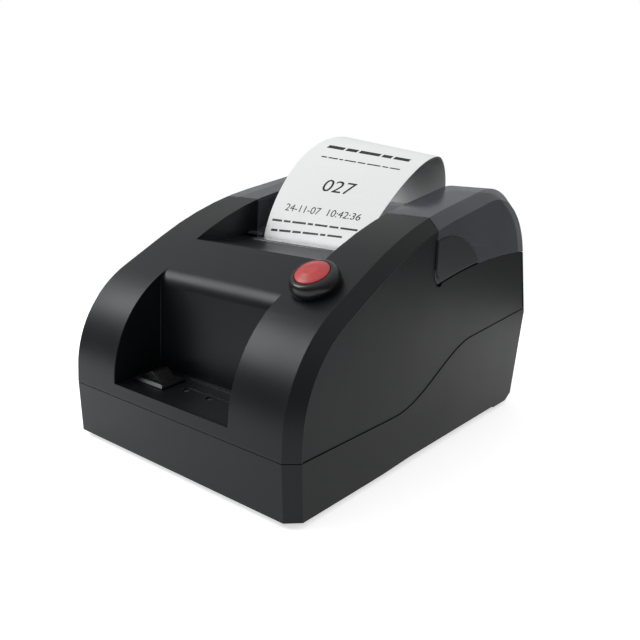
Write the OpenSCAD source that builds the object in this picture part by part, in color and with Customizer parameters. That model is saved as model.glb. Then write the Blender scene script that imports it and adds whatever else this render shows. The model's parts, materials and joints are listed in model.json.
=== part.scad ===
// Countertop queue ticket printer for 58 mm paper.
// In the modules y = 0 is the front face and z = 0 the counter. placed() puts the origin under the middle.

/* [Body] */
// Width over the two flat sides
body_w = 127; // [120:1:160]
// Depth from the front face to the rear crease
body_d = 192; // [188:1:235]
// Width of the 45 degree bevel along the long edges
edge_bevel = 4.8; // [3:0.1:6]
// Wall of the base and the top housing
wall = 2.4; // [1.8:0.1:3]
// Gap under the base, which the feet make
foot_lift = 2; // [1:0.5:5]

/* [Side outline] */
// Height where the front face starts to curve back
front_z = 32; // [28:1:40]
// Radius of the curved front
front_r = 48; // [42:1:60]
// Length of the straight deck above the curved front
deck_run = 23; // [23:0.5:32]
// Radius from the deck to the top of the cover
deck_r = 190; // [150:5:240]
// Radius of the cover's rounded rear
rear_r = 42; // [34:1:48]
// Height of the crease across the rear
crease_z = 51; // [48:1:58]

/* [Split between base and housing] */
// Height of the base at the front
split_front_z = 24.6; // [20:0.2:28]
// Height of the base where the rise ends
split_rear_z = 46.5; // [40:0.5:50]
// Distance from the front where the rise starts
split_rise_y = 62; // [50:1:80]
// Length of the rise
split_rise_l = 68; // [50:1:80]
// Height of the groove along the split
split_groove = 0.3; // [0.2:0.1:1]

/* [Paper cover] */
// Distance from the front to the joint between housing and cover
seam_y = 86.5; // [84:0.5:92]
// Wall of the cover
cover_wall = 2.2; // [1.6:0.1:3]
// Gap round the cover
cover_gap = 0.3; // [0.3:0.05:0.6]
// Highest point of the cover's lower edge
part_z = 82.6; // [80:0.2:85]
// Radius of the cover's arched lower edge
part_r = 330; // [250:5:500]
// Half the width of the trough between the rails
trough_hw = 38; // [36:0.5:42]
// Height of the trough's floor behind the roller
trough_z = 91.5; // [90.5:0.5:95]
// Slope of the trough's floor, in degrees
trough_pitch = 8; // [4:0.5:9]
// Radius of the finger pad's arc
tab_r = 37.4; // [34:0.2:40]
// How far the finger pads stand proud
tab_proud = 0.5; // [0.3:0.1:1]
// Clear height of the finger gap under a pad
finger_gap = 0.8; // [0.6:0.1:2]

/* [Front pocket] */
// Half the width of the pocket
pocket_hw = 33; // [30:0.5:35]
// Depth of the pocket
pocket_d = 23.3; // [20:0.5:26]
// Height of the rounded rim along the pocket's front
pocket_z = 30.2; // [29:0.2:34]
// Width of that rim
rim_w = 1.8; // [1.2:0.1:3]
// Slope of the pocket's floor behind the rim, in degrees
panel_pitch = 5.3; // [3:0.1:6]
// Radius of the pocket's top edge
pocket_lip_r = 9; // [5:0.5:10]

/* [Paper and ticket] */
// Width of the paper
paper_w = 57.5; // [56:0.5:58]
// Radius of a full paper roll
roll_r = 32; // [25:0.5:34]
// Outer radius of the roll's core
core_r = 8.5; // [6:0.5:13]
// Thickness of the ticket as modelled
ticket_t = 0.3; // [0.2:0.1:0.5]

/* [Print mechanism] */
// Radius of the platen roller
platen_r = 6; // [5:0.25:7]
// Radius of the roller's shaft
shaft_r = 2; // [1.5:0.25:2.5]
// Distance from the front to the paper's path at the head
paper_y = 81.85; // [80:0.05:84]
// Height of the roller's axis
platen_z = 80; // [79:0.5:81]
// Size of one gear tooth, as a module
gear_module = 0.7; // [0.6:0.05:0.75]
// Width of the gears
gear_w = 2.8; // [2:0.2:3]

/* [Push button] */
// Distance of the push button from the middle
button_x = 43.7; // [43:0.1:45]
// Distance of the push button from the front
button_y = 33.4; // [33:0.1:36]
// Radius of the button's domed bezel
bezel_r = 10; // [9:0.5:12]
// Height of the bezel over the deck
bezel_h = 6; // [5:0.2:8]
// Radius of the red cap
cap_r = 6.8; // [6:0.1:8]
// Travel of the red cap
cap_travel = 1.8; // [1:0.1:2.5]

/* [Rocker switch and lights] */
// Length of the rocker switch's frame
rocker_l = 18; // [17:0.5:21]
// Width of the rocker switch's frame
rocker_w = 12; // [11:0.5:15]
// Tilt of the rocker from level, in degrees
rocker_tilt = 7; // [5:0.5:9]
// Distance between two indicator lights
led_pitch = 13.4; // [10:0.1:14]
// Radius of an indicator lens
led_r = 1.5; // [1:0.1:2]

/* [Hidden] */
$fn = 64;
bend_step = 4;
eps = 0.01;
far = 400;

// Body heights and half widths
half_w = body_w / 2;
bottom_z = foot_lift;
bottom_bevel = 0.5;
rear_bevel = 4.5;
side_rise = 1.6;
floor_z = bottom_z + wall;
draft = 5;
deck_pitch = 30;
top_pitch = 12;
rear_pitch = 74;
under_pitch = 101;
crease_r = 9;
start_z = -20;

// Running and fixed clearances
run_gap = 0.05;
free_gap = 0.3;

// Movement of a right-hand bend of radius r from heading h to heading h - t
function bend_shift(r, h, t) = r * [sin(h) - sin(h - t), cos(h - t) - cos(h)];
function run_shift(l, h) = l * [cos(h), sin(h)];

// Length of the cover's straight top, so that the body ends at body_d
before_top = [0, front_z] + bend_shift(front_r, 90, 90 - deck_pitch) + run_shift(deck_run, deck_pitch)
    + bend_shift(deck_r, deck_pitch, deck_pitch - top_pitch);
rear_shift = bend_shift(rear_r, top_pitch, top_pitch + rear_pitch);
rear_z0 = before_top[1] + rear_shift[1] - crease_z;
top_run = (body_d - crease_r * (1 - sin(rear_pitch)) - before_top[0] - rear_shift[0] - rear_z0 / tan(rear_pitch))
    / (cos(top_pitch) + sin(top_pitch) / tan(rear_pitch));
rear_run = (rear_z0 + top_run * sin(top_pitch)) / sin(rear_pitch);
draft_run = (split_front_z - start_z) / cos(draft);

// Steps of the side outline: [length, 0] is a straight run and [radius, degrees] a bend
outline_steps = [[draft_run, 0], [20, draft], [front_z - split_front_z - 20 * sin(draft), 0],
    [front_r, 90 - deck_pitch], [deck_run, 0], [deck_r, deck_pitch - top_pitch], [top_run, 0],
    [rear_r, top_pitch + rear_pitch], [rear_run, 0], [crease_r, under_pitch - rear_pitch], [70, 0]];
outline_start = [draft_run * sin(draft) + 20 * (1 - cos(draft)), start_z];

// Points along the steps from p at heading h, moved inwards by c
function walk(p, h, steps, c, i = 0) = i == len(steps) ? [p] :
    steps[i][1] == 0 ? concat([p], walk(p + run_shift(steps[i][0], h), h, steps, c, i + 1)) :
    let (n = ceil(steps[i][1] / bend_step), r = steps[i][0] - c, t = steps[i][1])
    concat([for (k = [0:n - 1]) p + bend_shift(r, h, t * k / n)],
        walk(p + bend_shift(r, h, t), h - t, steps, c, i + 1));
function outline(c) = walk(outline_start + c * [cos(draft), sin(draft)], 90 + draft, outline_steps, c);

// Where the rear face would meet the underside
rear_y = body_d - (crease_z - bottom_z) * tan(under_pitch - 90);
// Where the underside starts behind the front face
front_foot_y = 3;

// Height of the split between base and housing at distance y
function split_z(y) = y < split_rise_y ? split_front_z :
    y < split_rise_y + split_rise_l ?
    split_front_z + (split_rear_z - split_front_z) * (1 - cos(180 * (y - split_rise_y) / split_rise_l)) / 2 :
    split_rear_z + (crease_z - split_rear_z) * (y - split_rise_y - split_rise_l)
    / (body_d - split_rise_y - split_rise_l);
split_points = [for (y = [split_rise_y:split_rise_l / 14:split_rise_y + split_rise_l + eps]) [y, split_z(y)]];

// Lower edge of the cover
part_y = 160;
function part_line(y) = part_z - part_r + sqrt(part_r * part_r - (y - part_y) * (y - part_y));
part_points = [for (i = [0:16]) let (y = seam_y + (body_d + 10 - seam_y) * i / 16) [y, part_line(y)]];
seam_corner_r = 6;
pad_seat = 1.2;
rib_ys = [109.5, 153.5];
rib_w = 1.2;
rib_h = 1.3;

// Recess in front of the ticket slot
recess_hw_front = 36.7;
recess_turn = 2;
recess_y = 45.9;
recess_z = 86;
recess_floor_y = 60;
recess_floor_z = 84.3;
recess_end_z = 86.2;
recess_end_y = 78.9;
tear_t = 0.8;
tear_z = recess_end_z - 0.36 - tear_t;

// Print mechanism, from the paper's path backwards and from the middle outwards
platen_y = paper_y + ticket_t / 2 + free_gap + platen_r;
platen_hl = paper_w / 2 + 0.25;
plate_x = platen_hl + 1.6;
plate_t = 1.2;
arm_x = plate_x + plate_t + 0.4;
arm_t = 2;
gear_x = arm_x + arm_t + 0.4;
bush_r = shaft_r + 2;
platen_teeth = 16;
idler_teeth = 24;
pinion_teeth = 10;
mesh_gap = 0.12;
platen_gear_r = gear_module * (platen_teeth / 2 + 0.9);
idler_pin_r = 1.6;
motor_shaft_r = 1;
idler_z = platen_z - gear_module * (platen_teeth + idler_teeth) / 2 - mesh_gap;
pinion_distance = gear_module * (idler_teeth + pinion_teeth) / 2 + mesh_gap;
pinion_angle = 216;
pinion_y = platen_y + pinion_distance * cos(pinion_angle);
pinion_z = idler_z + pinion_distance * sin(pinion_angle);
// The pinion's phase puts a gap where the idler's tooth points at it
idler_phase = 90 + 180 / idler_teeth;
pinion_back = pinion_angle + 180;
pinion_phase = pinion_back + 180 / pinion_teeth + (pinion_angle - idler_phase) * idler_teeth / pinion_teeth;
motor_r = 11;
motor_l = 16;
frame_y0 = 50;
frame_y1 = platen_y + bush_r + 2;
frame_z0 = 20;
frame_z1 = platen_z + bush_r;
cross_y = 63;
head_face_y = paper_y - ticket_t / 2 - free_gap;
head_t = 1;
head_z0 = platen_z - 9.5;
head_z1 = platen_z + 2.2;
sink_t = 3;
sink_fin = 5;
spring_z = (head_z0 + head_z1) / 2 - 1;
spring_l = head_face_y - head_t - sink_t - cross_y - plate_t - 2 * run_gap;

// Lip of the cover over the roller and the gears
lip_t = 1;
lip_z = platen_z + max(platen_r, platen_gear_r) + 0.4 + lip_t;
lip_end_y = platen_y + platen_r + 3;
lip_front_y = paper_y + 1.2;
ear_y = recess_end_y + 0.4;
ear_x = paper_w / 2 + 0.8;

// Side view of the ticket's two edges: out of the slot, over the top and down behind
slot_z = lip_z - 1.33;
ticket_left = [[[0, 0], [3.6, 16.7], [24, 49.7], [61, 49.7]], [[61, 49.7], [69, 49.7], [76, 36], [74, 17]]];
ticket_right = [[[0, 0], [5, 9.5], [43, 41.7], [62, 41.7]], [[62, 41.7], [68.5, 41.7], [73.5, 32], [71, 16]]];
ticket_steps = 16;

// Paper bin
bin_r = roll_r + 2;
bin_hw = paper_w / 2 + 0.5;
bin_t = 1.8;
bin_y = seam_y + 48;
bin_z = floor_z + 6.5 + bin_t + bin_r;
bin_top = 66;
roll_z = bin_z - (bin_r - roll_r) + free_gap;

// Hinge at the rear
hinge_y = body_d - 7.5;
hinge_z = part_line(hinge_y) + 0.7107234;
knuckle_r = 3.2;
hinge_pin_r = 1.5;
knuckle_x = 48;
knuckle_w = 8;
knuckle_end_w = 3.6;

// Fasteners, feet and boards
screw_x = half_w - 7;
screw_ys = [30, body_d - 44];
screw_r = 1.5;
boss_r = 5;
foot_x = 46;
foot_ys = [16, body_d - 31];
foot_r = 6;
foot_sink = 1.2;
board_z = floor_z + 5;
board_t = 1.6;
board_hw = 48;
bay_hw = 30;
bay_z0 = 9;
bay_z1 = 31;
bay_y = body_d - 16;
port_board_y = bay_y - 24;
jack_x = -16;
usb_x = 12;

// Switch and lights on the pocket's sloping floor. Distances along it start at the rim.
panel_drop = 0.3;
ledge_w = 1.2;
ledge_h = 0.5;
rocker_x = -21.5;
rocker_v = 11.9;
rocker_wall = 1;
rocker_pin_r = 1;
led_x = -5.1;
led_v = 12.2;
ridge_w = 0.6;
ridge_h = 0.4;

button_z = front_z + front_r * sin(90 - deck_pitch)
    + (button_y - front_r * (1 - cos(90 - deck_pitch))) * tan(deck_pitch);
barrel_r = 6;
barrel_l = 14;
stem_r = 4.1;
stem_bottom = -6;
cap_seat_z = 1;
cap_z0 = cap_seat_z + cap_travel + 0.2;
cap_z1 = bezel_h + 0.7;
neck_h = 1.3;
rim_r = cap_r + 0.9;
port_seat = board_z + board_t;

module placed() translate([0, -body_d / 2, 0]) children();

// A side view outline, drawn as [distance from the front, height], drawn out from x0 to x1
module side_slab(x0, x1) translate([x0, 0, 0]) rotate([90, 0, 90]) linear_extrude(x1 - x0) children();
module side_block(hw) side_slab(-hw, hw) children();

// A round bar along X
module bar(y, z, r, x0, x1) translate([x0, y, z]) rotate([0, 90, 0]) cylinder(r = r, h = x1 - x0);

// Everything inside the outer surface, moved inwards by c
module envelope(c = 0) {
    corner = c * tan(22.5);
    hull() {
        side_block(half_w - edge_bevel - corner) intersection() {
            polygon(outline(c));
            above_floor(c, 0);
        }
        side_block(half_w - c) intersection() {
            polygon(outline(edge_bevel + corner));
            above_floor(c, edge_bevel);
        }
        for (b = [0, edge_bevel]) let (x = half_w - bottom_bevel - c - edge_bevel + b, y = front_foot_y + b + c)
            translate([-x, y, bottom_z + c]) cube([2 * x, rear_y - rear_bevel - front_foot_y - 2 * (b + c), eps]);
    }
}

// Side view of what lies over the underside, whose rear end is rounded off
module above_floor(c, b) {
    z = bottom_z + bottom_bevel + c;
    y = rear_y - rear_bevel - b - c;
    polygon([[-far, z], [y, z], [far, z + (far - y) / 2], [far, far], [-far, far]]);
}

module above_split(lift) polygon(concat([[-far, split_front_z + lift]], [for (p = split_points) p + [0, lift]],
    [[body_d + 20, split_z(body_d + 20) + lift], [body_d + 20, far], [-far, far]]));

// Side view of all that belongs to the cover, grown by g
module cover_area(g) difference() {
    polygon(concat([[seam_y - g, far]],
        [[seam_y - g, part_line(seam_y) + seam_corner_r]],
        [for (a = [10:20:90]) [seam_y - g + seam_corner_r * (1 - cos(a)),
            part_line(seam_y) + seam_corner_r * (1 - sin(a)) - g]],
        [for (p = part_points) if (p[0] > seam_y + seam_corner_r) p - [0, g]], [[body_d + 10, far]]));
}

// Trough between the rails, with walls of thickness e round it. Its floor starts with a lip over the roller.
module trough(e) side_block(trough_hw + e) polygon([[seam_y - 10, lip_z - e], [seam_y, lip_z - e],
    [lip_end_y, trough_z - e], [body_d + 20, trough_floor(body_d + 20) - e], [body_d + 20, far],
    [seam_y - 10, far]]);
function trough_floor(y) = trough_z + (y - lip_end_y) * tan(trough_pitch);

module recess(e) difference() {
    side_block(trough_hw + e) polygon([[recess_y - e, recess_z + 40], [recess_y - e, recess_z - 0.3 * e],
        [recess_floor_y - 0.5 * e, recess_floor_z - e], [seam_y + eps, recess_end_z - e],
        [seam_y + eps, recess_z + 40]]);
    for (s = [-1, 1]) translate([s * (recess_hw_front + e), recess_y, 0]) rotate([0, 0, -s * recess_turn])
        translate([s > 0 ? 0 : -20, -20, 0]) cube([20, 90, 200]);
}

// Front pocket with walls of thickness e round it. Its back wall rolls over into the deck.
function panel_z(y) = pocket_z - panel_drop + (y - rim_w) * tan(panel_pitch);
module pocket(e) {
    ledge_y = pocket_d - ledge_w;
    roll_y = pocket_d + pocket_lip_r;
    roll_z0 = deck_z(roll_y) - pocket_lip_r / cos(deck_pitch);
    side_block(pocket_hw + e) polygon(concat([[-far, pocket_z - e], [rim_w - 0.1, pocket_z - e],
        [rim_w, panel_z(rim_w) - e], [ledge_y, panel_z(ledge_y) - e],
        [ledge_y + 0.1, panel_z(ledge_y) + ledge_h - e],
        [pocket_d + e, panel_z(ledge_y) + ledge_h - e]],
        [for (a = [0:10:90 - deck_pitch]) [roll_y, roll_z0] + (pocket_lip_r - e) * [-cos(a), sin(a)]],
        [[pocket_d + 30, far], [-far, far]]));
}
function deck_z(y) = front_z + front_r * sin(90 - deck_pitch)
    + (y - front_r * (1 - cos(90 - deck_pitch))) * tan(deck_pitch);

module on_panel() translate([0, rim_w, pocket_z - panel_drop]) rotate([panel_pitch, 0, 0]) children();
module at_rocker() on_panel() translate([rocker_x, rocker_v, 0]) children();
module led_places() on_panel() for (i = [0:2]) translate([led_x + i * led_pitch, led_v, 0]) children();
module on_deck() translate([button_x, button_y, button_z]) rotate([deck_pitch, 0, 0]) children();

module screw_places() for (s = [-1, 1], y = screw_ys) translate([s * screw_x, y, 0]) children();
module foot_places() for (s = [-1, 1], y = foot_ys) translate([s * foot_x, y, 0]) children();
module hinge_places() for (s = [-1, 1]) translate([s * knuckle_x, 0, 0]) children();

module base_shell() color([0.13, 0.13, 0.14]) placed() difference() {
    union() {
        difference() {
            intersection() {
                envelope();
                side_block(far) difference() {
                    translate([-20, 0]) square([far, far / 2]);
                    above_split(0);
                }
            }
            envelope(wall);
        }
        intersection() {
            envelope(wall / 2);
            union() {
                screw_places() cylinder(r = boss_r, h = split_front_z);
                for (s = [-1, 1]) translate([s * screw_x, screw_ys[1], 0])
                    cylinder(r = boss_r, h = split_z(screw_ys[1] - boss_r));
                for (s = [-1, 1], y = [frame_y0 + 5, frame_y1 - 7])
                    translate([s * (plate_x - 5), y, bottom_z + 1]) cylinder(r = 3.5, h = frame_z0 - bottom_z - 1);
                for (s = [-1, 1], y = [12, 42]) translate([s * (board_hw - 4), y, bottom_z + 1])
                    cylinder(r = 2.5, h = board_z - bottom_z - 1);
                for (s = [-1, 1]) translate([s * (bay_hw - 5), port_board_y + 6, bottom_z + 1])
                    cylinder(r = 2.5, h = board_z - bottom_z - 1);
                translate([-bay_hw - wall, bay_y - wall, bottom_z])
                    cube([2 * (bay_hw + wall), 40, bay_z1 + wall - bottom_z]);
            }
        }
    }
    translate([-bay_hw, bay_y, bay_z0]) cube([2 * bay_hw, 60, bay_z1 - bay_z0]);
    translate([jack_x, bay_y - 10, board_z + board_t + 5.5]) translate([-4.6, 0, -5.6]) cube([9.2, 20, 11.2]);
    translate([usb_x - 6.1, bay_y - 10, board_z + board_t - 0.1]) cube([12.2, 20, 11.2]);
    screw_places() translate([0, 0, -1]) cylinder(r = screw_r + 0.15, h = 60);
    screw_places() translate([0, 0, -1]) cylinder(r = 3.2, h = bottom_z + 6);
    foot_places() translate([0, 0, -1]) cylinder(r = foot_r, h = bottom_z + 1 + foot_sink);
    // the lower edge of each side rises a little between the feet
    for (s = [-1, 1]) mirror([s > 0 ? 0 : 1, 0, 0]) side_slab(half_w - 1.3, far)
        polygon([[50, 0], [50, bottom_z + 0.3], [90, bottom_z + side_rise],
            [foot_ys[1] - 6, bottom_z + side_rise], [foot_ys[1] - 1, bottom_z], [foot_ys[1] - 1, 0]]);
}

module top_housing() color([0.14, 0.14, 0.15]) placed() difference() {
    union() {
        difference() {
            intersection() {
                envelope();
                side_block(far) difference() {
                    above_split(0);
                    cover_area(cover_gap);
                }
            }
            envelope(wall);
        }
        intersection() {
            envelope(wall / 2);
            side_block(far) difference() {
                above_split(0);
                cover_area(cover_gap);
            }
            union() {
                pocket(wall);
                recess(wall);
                difference() {
                    translate([-far / 2, seam_y - cover_gap - wall, part_line(seam_y) - 4])
                        cube([far, wall, 60]);
                    translate([-trough_hw - wall, 0, 0]) cube([2 * (trough_hw + wall), far, far]);
                }
                for (s = [-1, 1]) translate([s * screw_x, screw_ys[0], split_front_z])
                    cylinder(r = boss_r, h = 60);
                for (s = [-1, 1]) translate([s * screw_x, screw_ys[1], 30]) cylinder(r = boss_r, h = 36);
            }
        }
        hinge_places() for (x = [-knuckle_w / 2 - 0.4 - knuckle_end_w, knuckle_w / 2 + 0.4])
            bar(hinge_y, hinge_z, knuckle_r, x, x + knuckle_end_w);
    }
    difference() {
        pocket(0);
        intersection() {
            on_panel() pocket_ridge();
            side_block(pocket_hw + eps) square(far);
        }
    }
    recess(0);
    translate([-trough_hw - 1, recess_end_y, 0]) cube([2 * trough_hw + 2, 60, recess_end_z + eps]);
    translate([-platen_hl, 74, tear_z]) cube([2 * platen_hl, 20, 5]);
    // shallow side panels, which leave a fine line along the bevel
    for (s = [-1, 1]) mirror([s > 0 ? 0 : 1, 0, 0]) side_slab(half_w - 0.3, half_w + 5)
        polygon(outline(edge_bevel + 0.5));
    on_deck() translate([0, 0, -30]) cylinder(r = barrel_r + 0.1, h = 60);
    at_rocker() translate([-rocker_l / 2 + rocker_wall, -rocker_w / 2 + rocker_wall, -8])
        cube([rocker_l - 2 * rocker_wall, rocker_w - 2 * rocker_wall, 16]);
    led_places() translate([0, 0, -8]) cylinder(r = led_r, h = 16);
    screw_places() translate([0, 0, split_front_z - 5]) cylinder(r = screw_r, h = 14);
    for (s = [-1, 1]) translate([s * screw_x, screw_ys[1], split_front_z]) cylinder(r = screw_r, h = 34);
    hinge_places() {
        bar(hinge_y, hinge_z, knuckle_r + 0.4, -knuckle_w / 2 - 0.4, knuckle_w / 2 + 0.4);
        bar(hinge_y, hinge_z, hinge_pin_r, -20, 20);
    }
    // groove along the split
    difference() {
        side_block(far) difference() {
            above_split(-1);
            above_split(split_groove);
        }
        envelope(0.6);
    }
}

// Raised line behind the lights, with a hook round the first one
module pocket_ridge() {
    bend_r = led_r + 0.2;
    translate([led_x, led_v + bend_r, -1]) cube([far, ridge_w, 1 + ridge_h]);
    translate([led_x, led_v, -1]) difference() {
        cylinder(r = bend_r + ridge_w, h = 1 + ridge_h);
        translate([0, 0, -1]) cylinder(r = bend_r, h = 5);
        translate([0, -10, -1]) cube([20, 20, 5]);
        translate([-20, -20, -1]) cube([40, 20, 5]);
    }
}

module paper_cover() color([0.22, 0.23, 0.27, 0.7]) placed() difference() {
    union() {
        difference() {
            intersection() {
                envelope();
                side_block(far) cover_area(0);
            }
            difference() {
                envelope(cover_wall);
                trough(cover_wall);
                translate([-far / 2, 0, 0]) cube([far, seam_y + cover_wall, far]);
            }
            trough(0);
            side_block(gear_x + gear_w + 0.5) polygon([[0, 0], [lip_end_y - 1, 0],
                [lip_end_y - 1, trough_z - cover_wall], [seam_y, lip_z - lip_t], [0, lip_z - lip_t]]);
        }
        hinge_places() bar(hinge_y, hinge_z, knuckle_r, -knuckle_w / 2, knuckle_w / 2);
        // lip over the roller, with an ear beside each edge of the ticket
        side_block(trough_hw - 0.6) translate([lip_front_y, lip_z - lip_t])
            square([seam_y + 1 - lip_front_y, lip_t]);
        for (s = [-1, 1]) side_slab(s > 0 ? ear_x : -trough_hw + 0.6, s > 0 ? trough_hw - 0.6 : -ear_x)
            translate([ear_y, lip_z - lip_t]) square([seam_y + 1 - ear_y, lip_t]);
        // two ribs inside each rail
        intersection() {
            side_block(far) cover_area(0);
            difference() {
                envelope(cover_wall - eps);
                envelope(cover_wall + rib_h);
                trough(cover_wall);
            }
            for (y = rib_ys) translate([-far / 2, y, part_z + 2]) cube([far, rib_w, far]);
        }
    }
    hinge_places() {
        for (s = [-1, 1]) bar(hinge_y, hinge_z, knuckle_r + 0.4,
            s > 0 ? knuckle_w / 2 : -knuckle_w / 2 - knuckle_end_w - 0.8,
            s > 0 ? knuckle_w / 2 + knuckle_end_w + 0.8 : -knuckle_w / 2);
        bar(hinge_y, hinge_z, hinge_pin_r + run_gap, -20, 20);
    }
    for (s = [-1, 1]) mirror([s > 0 ? 0 : 1, 0, 0]) {
        side_slab(half_w - pad_seat, far) tab_area(0);
        side_slab(half_w - cover_wall - 1, far) finger_slot();
    }
}

// Side view of the open gap under a finger pad
module finger_slot() intersection() {
    translate([seam_y + 10.5, part_line(seam_y + 10.5) - 18.5]) circle(r = tab_r);
    difference() {
        cover_area(1);
        polygon(concat([[seam_y - 5, far]], [[seam_y - 5, part_line(seam_y) + finger_gap]],
            [for (p = part_points) p + [0, finger_gap]], [[body_d + 10, far]]));
    }
}

// Side view of a finger pad, moved inwards by c
module tab_area(c) intersection() {
    translate([seam_y + 10.5, part_line(seam_y + 10.5) - 18.5]) circle(r = tab_r - c);
    offset(r = seam_corner_r - c) offset(delta = -seam_corner_r) polygon(concat([[seam_y - eps, far]],
        [for (p = part_points) p + [0, finger_gap]], [[body_d, far]]));
}

module finger_pad(s) mirror([s > 0 ? 0 : 1, 0, 0]) {
    side_slab(half_w - pad_seat, half_w + tab_proud - 0.4) tab_area(0);
    side_slab(half_w + tab_proud - 0.4 - eps, half_w + tab_proud) tab_area(0.5);
}
module cover_tab_left() color([0.2, 0.2, 0.22]) placed() finger_pad(-1);
module cover_tab_right() color([0.2, 0.2, 0.22]) placed() finger_pad(1);

module platen_carrier() color([0.1, 0.1, 0.1]) placed() difference() {
    union() {
        for (s = [-1, 1]) side_slab(s > 0 ? arm_x : -arm_x - arm_t, s > 0 ? arm_x + arm_t : -arm_x)
            polygon([[platen_y - bush_r - 1, platen_z - bush_r - 1],
                [platen_y + bush_r + 10, platen_z - bush_r - 1],
                [platen_y + bush_r + 14, platen_z], [platen_y + bush_r + 14, 100],
                [lip_end_y, 100], [lip_end_y, platen_z + bush_r + 1],
                [platen_y - bush_r - 1, platen_z + bush_r + 1]]);
        side_block(arm_x + eps) polygon([[lip_end_y, platen_z + 2], [platen_y + bush_r + 14, platen_z + 2],
            [platen_y + bush_r + 14, 100], [lip_end_y, 100]]);
    }
    trough(cover_wall);
    bar(platen_y, platen_z, bush_r, -far / 2, far / 2);
}

module platen_roller() color([0.08, 0.08, 0.08]) placed() difference() {
    bar(platen_y, platen_z, platen_r, -platen_hl, platen_hl);
    bar(platen_y, platen_z, shaft_r, -far / 2, far / 2);
}

module platen_shaft() color("silver") placed()
    bar(platen_y, platen_z, shaft_r, -gear_x - gear_w, arm_x + arm_t + 0.6);

module platen_bushes() color([0.75, 0.7, 0.6]) placed() for (s = [0, 1]) mirror([s, 0, 0]) difference() {
    union() {
        bar(platen_y, platen_z, bush_r, plate_x - 0.4, arm_x + arm_t);
        bar(platen_y, platen_z, bush_r + 0.8, plate_x - 1.2, plate_x - 0.4);
    }
    bar(platen_y, platen_z, shaft_r + run_gap, 0, far / 2);
}

// A spur gear about the origin in the side view, with one tooth on the +Y axis turned by phase
module gear_shape(teeth, phase) {
    pitch = gear_module * teeth / 2;
    tip = pitch + 0.9 * gear_module;
    root = pitch - 1.2 * gear_module;
    step = 360 / teeth;
    flank = [[root, -0.33], [pitch, -0.235], [tip, -0.12], [tip, 0.12], [pitch, 0.235], [root, 0.33]];
    polygon([for (i = [0:teeth - 1]) for (c = flank) let (a = phase + step * (i + c[1])) c[0] * [cos(a), sin(a)]]);
}

module gear_at(y, z, teeth, phase, bore) difference() {
    side_slab(-gear_x - gear_w, -gear_x) translate([y, z]) gear_shape(teeth, phase);
    bar(y, z, bore, -far / 2, far / 2);
}

module platen_gear() color("ivory") placed() gear_at(platen_y, platen_z, platen_teeth, -90, shaft_r);

module idler_gear() color("ivory") placed() difference() {
    gear_at(platen_y, idler_z, idler_teeth, idler_phase, idler_pin_r + run_gap);
    for (a = [0:60:300]) bar(platen_y + 5.4 * cos(a), idler_z + 5.4 * sin(a), 1.6, -far / 2, far / 2);
}

module motor_pinion() color("goldenrod") placed() {
    side_slab(-gear_x - gear_w, -gear_x) translate([pinion_y, pinion_z]) gear_shape(pinion_teeth, pinion_phase);
    bar(pinion_y, pinion_z, motor_shaft_r, -gear_x - eps, -plate_x + 8);
}

module stepper_motor() color([0.6, 0.6, 0.62]) placed() difference() {
    union() {
        bar(pinion_y, pinion_z, motor_r, -plate_x, -plate_x + motor_l);
        translate([-plate_x, pinion_y - 3, pinion_z - motor_r - 3]) cube([0.8, 6, 6]);
        translate([-plate_x + 5, pinion_y - 4, pinion_z - motor_r - 2.5]) cube([7, 8, 6]);
    }
    bar(pinion_y, pinion_z, motor_shaft_r + run_gap, -plate_x - 1, -plate_x + 9);
}

module mech_frame() color([0.62, 0.64, 0.66]) placed() {
    difference() {
        union() {
            for (s = [0, 1]) mirror([s, 0, 0]) side_slab(plate_x, plate_x + plate_t)
                polygon([[frame_y0, frame_z0], [frame_y1, frame_z0], [frame_y1, frame_z1],
                    [cross_y + 9, frame_z1 - 4], [cross_y, head_z0 + 2], [frame_y0, 48]]);
            side_block(plate_x + eps) polygon([[frame_y0, frame_z0], [frame_y1, frame_z0],
                [frame_y1, frame_z0 + plate_t], [frame_y0, frame_z0 + plate_t]]);
            side_block(plate_x + eps) polygon([[cross_y, frame_z0], [cross_y + plate_t, frame_z0],
                [cross_y + plate_t, head_z1 - 4], [cross_y, head_z1 - 4]]);
        }
        side_block(far / 2) polygon([[platen_y - bush_r - 0.25, platen_z], [platen_y + bush_r + 0.25, platen_z],
            [platen_y + bush_r + 0.6, far], [platen_y - bush_r - 0.6, far]]);
        bar(platen_y, platen_z, bush_r + 0.25, -far / 2, far / 2);
        bar(pinion_y, pinion_z, 3, -far / 2, 0);
        translate([0, (frame_y0 + cross_y) / 2, 0]) cylinder(r = 4, h = 60);
    }
    bar(platen_y, idler_z, idler_pin_r, -gear_x - gear_w - 0.2, -plate_x - plate_t + eps);
}

module print_head() color([0.85, 0.85, 0.8]) placed() difference() {
    translate([-platen_hl, head_face_y - head_t, head_z0]) cube([2 * platen_hl, head_t, head_z1 - head_z0]);
    translate([-far / 2, head_face_y - 0.25, head_z0 - 1]) cube([far, 5, 4]);
}

module head_heat_sink() color([0.7, 0.71, 0.73]) placed() {
    translate([-platen_hl - 0.5, head_face_y - head_t - sink_t, head_z0])
        cube([2 * platen_hl + 1, sink_t, head_z1 - head_z0]);
    for (i = [-4:4]) translate([i * 6 - 0.8, head_face_y - head_t - sink_t - sink_fin + eps, head_z0 + 1])
        cube([1.6, sink_fin, head_z1 - head_z0 - 2]);
}

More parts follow.
